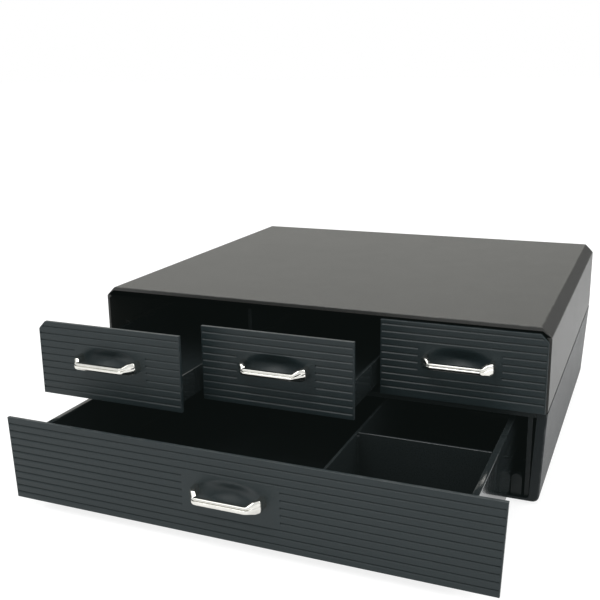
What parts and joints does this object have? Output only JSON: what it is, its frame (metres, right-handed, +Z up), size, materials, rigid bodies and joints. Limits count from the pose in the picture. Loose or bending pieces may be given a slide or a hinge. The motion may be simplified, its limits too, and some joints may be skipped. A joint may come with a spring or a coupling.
{
  "type": "coffee pod drawer",
  "caption": "Low two-tier countertop cabinet for coffee capsules: small pod drawers side by side over one full-width drawer with dividers, grooved fronts and bright bar pulls.",
  "frame": {"origin": "at floor level under the middle of the overall outline, drawers open as stored", "axes": "+X to the right as seen from the front, +Y towards the back, +Z up; the drawers slide out along -Y"},
  "size_m": [0.38, 0.4902, 0.14],
  "materials": {
    "cover_plastic": "fine-grained satin plastic",
    "base_plastic": "satin plastic, tilted sides",
    "frame_plastic": "dark satin plastic",
    "front_plastic": "satin plastic with fine horizontal grooves",
    "tray_plastic": "dark satin plastic",
    "pull_chrome": "bright polished",
    "screw_steel": "zinc-plated",
    "foot_rubber": "soft matte"
  },
  "bodies": {
    "cabinet": {"top_cover": "cover_plastic", "upper_back_panel": "frame_plastic", "upper_deck": "frame_plastic", "left_partition": "frame_plastic", "right_partition": "frame_plastic", "lower_base": "base_plastic", "left_guide_wall": "frame_plastic", "right_guide_wall": "frame_plastic", "left_stop_post": "frame_plastic", "right_stop_post": "frame_plastic", "rubber_feet": "foot_rubber", "case_screws": "screw_steel", "back_screws": "screw_steel"},
    "left_drawer": {"left_front": "front_plastic", "left_tray": "tray_plastic", "left_pull": "pull_chrome", "left_pull_screws": "screw_steel", "left_tray_screws": "screw_steel"},
    "middle_drawer": {"middle_front": "front_plastic", "middle_tray": "tray_plastic", "middle_pull": "pull_chrome", "middle_pull_screws": "screw_steel", "middle_tray_screws": "screw_steel"},
    "right_drawer": {"right_front": "front_plastic", "right_tray": "tray_plastic", "right_pull": "pull_chrome", "right_pull_screws": "screw_steel", "right_tray_screws": "screw_steel"},
    "lower_drawer": {"lower_front": "front_plastic", "lower_tray": "tray_plastic", "lower_pull": "pull_chrome", "lower_pull_screws": "screw_steel", "lower_tray_screws": "screw_steel", "long_divider": "tray_plastic", "cross_divider": "tray_plastic"}
  },
  "joints": [
    {"name": "left_slide", "type": "slide", "parent": "cabinet", "child": "left_drawer", "axis": [0, -1, 0], "range_m": [-0.0915, 0.1335]},
    {"name": "middle_slide", "type": "slide", "parent": "cabinet", "child": "middle_drawer", "axis": [0, -1, 0], "range_m": [-0.0595, 0.1655]},
    {"name": "right_slide", "type": "slide", "parent": "cabinet", "child": "right_drawer", "axis": [0, -1, 0], "range_m": [0, 0.225]},
    {"name": "lower_slide", "type": "slide", "parent": "cabinet", "child": "lower_drawer", "axis": [0, -1, 0], "range_m": [-0.1385, 0.0865]}
  ]
}
